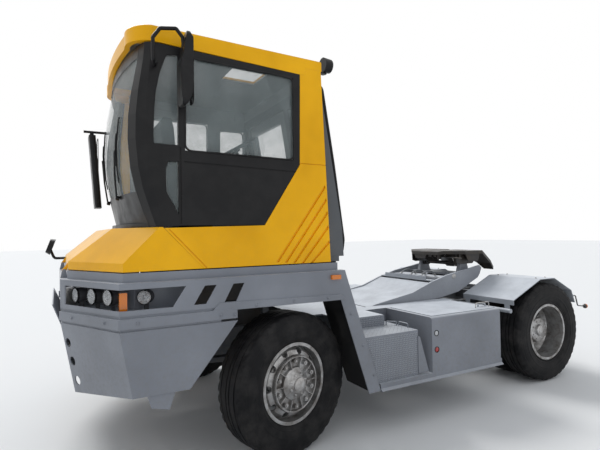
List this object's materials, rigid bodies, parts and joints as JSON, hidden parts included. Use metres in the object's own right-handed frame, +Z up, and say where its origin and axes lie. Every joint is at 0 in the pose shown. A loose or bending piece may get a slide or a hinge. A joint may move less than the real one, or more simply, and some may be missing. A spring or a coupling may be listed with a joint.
{
  "type": "terminal tractor",
  "caption": "Low terminal tractor with a narrow offset cab, sloping hood, wrap-round bumper, lifting fifth wheel, side box with steps, and steered front and twin rear wheels.",
  "frame": {"origin": "on the ground under the middle of the overall length and width", "axes": "+X forward, +Y to the left side with the cab, +Z up"},
  "size_m": [5.5973, 2.6925, 3.057],
  "materials": {
    "yellow_paint": "gloss, slightly dusty",
    "blue_grey_paint": "semi-gloss",
    "chassis_paint": "semi-gloss, dusty",
    "light_grey_paint": "matt, dusty",
    "rim_paint": "semi-gloss",
    "tyre": "matt",
    "greasy_iron": "greasy",
    "bare_iron": "dusty",
    "rod_chrome": "polished",
    "black_frame": "matt",
    "window_glass": "clear, lightly tinted",
    "lamp_glass": "clear lenses",
    "orange_lens": "lens",
    "red_lens": "lens",
    "black_rubber": "matt",
    "seat_cloth": "woven",
    "console_plastic": "grained"
  },
  "bodies": {
    "chassis": {"chassis_frame": "chassis_paint", "cross_members": "chassis_paint", "rear_crosshead": "chassis_paint", "front_bumper": "blue_grey_paint", "wing_frame": "blue_grey_paint", "arch_linings": "black_rubber", "headlamps": "lamp_glass", "marker_lamps": "orange_lens", "rear_lamps": "red_lens", "side_box": "blue_grey_paint", "side_tanks": "blue_grey_paint", "deck_plates": "blue_grey_paint", "rear_fenders": "light_grey_paint", "front_axle": "chassis_paint", "rear_axle": "chassis_paint", "drive_train": "bare_iron", "air_cleaner": "black_frame"},
    "knuckle_left": {"knuckle_left": "chassis_paint"},
    "knuckle_right": {"knuckle_right": "chassis_paint"},
    "tie_rod": {"tie_rod": "chassis_paint"},
    "front_left_wheel": {"front_left_tyre": "tyre", "front_left_rim": "rim_paint"},
    "front_right_wheel": {"front_right_tyre": "tyre", "front_right_rim": "rim_paint"},
    "rear_left_wheels": {"rear_left_tyres": "tyre", "rear_left_rims": "rim_paint"},
    "rear_right_wheels": {"rear_right_tyres": "tyre", "rear_right_rims": "rim_paint"},
    "cab": {"cab_floor": "black_frame", "cab_side_left": "yellow_paint", "cab_side_right": "yellow_paint", "cab_roof": "yellow_paint", "cab_frame": "black_frame", "cab_rear_wall": "yellow_paint", "hood": "yellow_paint", "cab_glass": "window_glass", "seat": "seat_cloth", "steering_console": "console_plastic", "mirrors": "black_frame", "handrail": "blue_grey_paint"},
    "cab_door": {"cab_door": "yellow_paint", "door_glass": "window_glass"},
    "steering_wheel": {"steering_wheel": "console_plastic"},
    "box_lid": {"box_lid": "blue_grey_paint"},
    "lift_arm": {"lift_arm": "chassis_paint", "hose_bracket": "black_rubber"},
    "fifth_wheel": {"fifth_wheel": "greasy_iron"},
    "lift_barrels": {"lift_barrels": "chassis_paint"},
    "lift_rods": {"lift_rods": "rod_chrome"}
  },
  "joints": [
    {"name": "steer_left", "type": "hinge", "parent": "chassis", "child": "knuckle_left", "pos_m": [1.195, 0.9, 0.525], "axis": [0, 0, 1], "range_deg": [-54.5, 25.5]},
    {"name": "steer_right", "type": "hinge", "parent": "chassis", "child": "knuckle_right", "pos_m": [1.195, -0.9, 0.525], "axis": [0, 0, 1], "range_deg": [-54.5, 25.5]},
    {"name": "tie_rod_end", "type": "hinge", "parent": "knuckle_left", "child": "tie_rod", "pos_m": [1.03042, 0.85743, 0.392], "axis": [0, 0, 1], "range_deg": [-25.5, 54.5]},
    {"name": "front_left_spin", "type": "hinge", "parent": "knuckle_left", "child": "front_left_wheel", "pos_m": [1.14868, 1.07911, 0.525], "axis": [-0.2504, 0.9681, 0], "continuous": true},
    {"name": "front_right_spin", "type": "hinge", "parent": "knuckle_right", "child": "front_right_wheel", "pos_m": [1.24132, -1.07911, 0.525], "axis": [-0.2504, 0.9681, 0], "continuous": true},
    {"name": "rear_left_spin", "type": "hinge", "parent": "chassis", "child": "rear_left_wheels", "pos_m": [-2.03, 0.84, 0.525], "axis": [0, 1, 0], "continuous": true},
    {"name": "rear_right_spin", "type": "hinge", "parent": "chassis", "child": "rear_right_wheels", "pos_m": [-2.03, -0.84, 0.525], "axis": [0, 1, 0], "continuous": true},
    {"name": "cab_tilt", "type": "hinge", "parent": "chassis", "child": "cab", "pos_m": [2.632, 0, 1.398], "axis": [0, 1, 0], "range_deg": [0, 45]},
    {"name": "cab_door_hinge", "type": "hinge", "parent": "cab", "child": "cab_door", "pos_m": [0.70957, -0.25, 2.1], "axis": [0.1607, 0, 0.987], "range_deg": [0, 100]},
    {"name": "steering_wheel_turn", "type": "hinge", "parent": "cab", "child": "steering_wheel", "pos_m": [1.262, 0.4, 2.368], "axis": [0.5, 0, 0.866], "continuous": true},
    {"name": "box_lid_hinge", "type": "hinge", "parent": "chassis", "child": "box_lid", "pos_m": [-0.6665, 0.644, 0.8878], "axis": [1, 0, 0], "range_deg": [0, 85]},
    {"name": "arm_lift", "type": "hinge", "parent": "chassis", "child": "lift_arm", "pos_m": [-0.15, 0, 0.775], "axis": [0, 1, 0], "range_deg": [0, 25]},
    {"name": "coupling_tilt", "type": "hinge", "parent": "lift_arm", "child": "fifth_wheel", "pos_m": [-1.62, 0, 1.245], "axis": [0, 1, 0], "range_deg": [-22, 12]},
    {"name": "barrel_swing", "type": "hinge", "parent": "chassis", "child": "lift_barrels", "pos_m": [-0.78, 0, 0.64], "axis": [0, 1, 0], "range_deg": [0, 37]},
    {"name": "rod_slide", "type": "slide", "parent": "lift_barrels", "child": "lift_rods", "axis": [-0.8643, 0, 0.5029], "range_m": [0, 0.236]}
  ],
  "couplings": [
    {"joint": "steer_right", "follows": "steer_left", "ratio": 1},
    {"joint": "tie_rod_end", "follows": "steer_left", "ratio": -1},
    {"joint": "barrel_swing", "follows": "arm_lift", "ratio": 1.4643},
    {"joint": "rod_slide", "follows": "arm_lift", "m_per_rad": 0.53955}
  ]
}
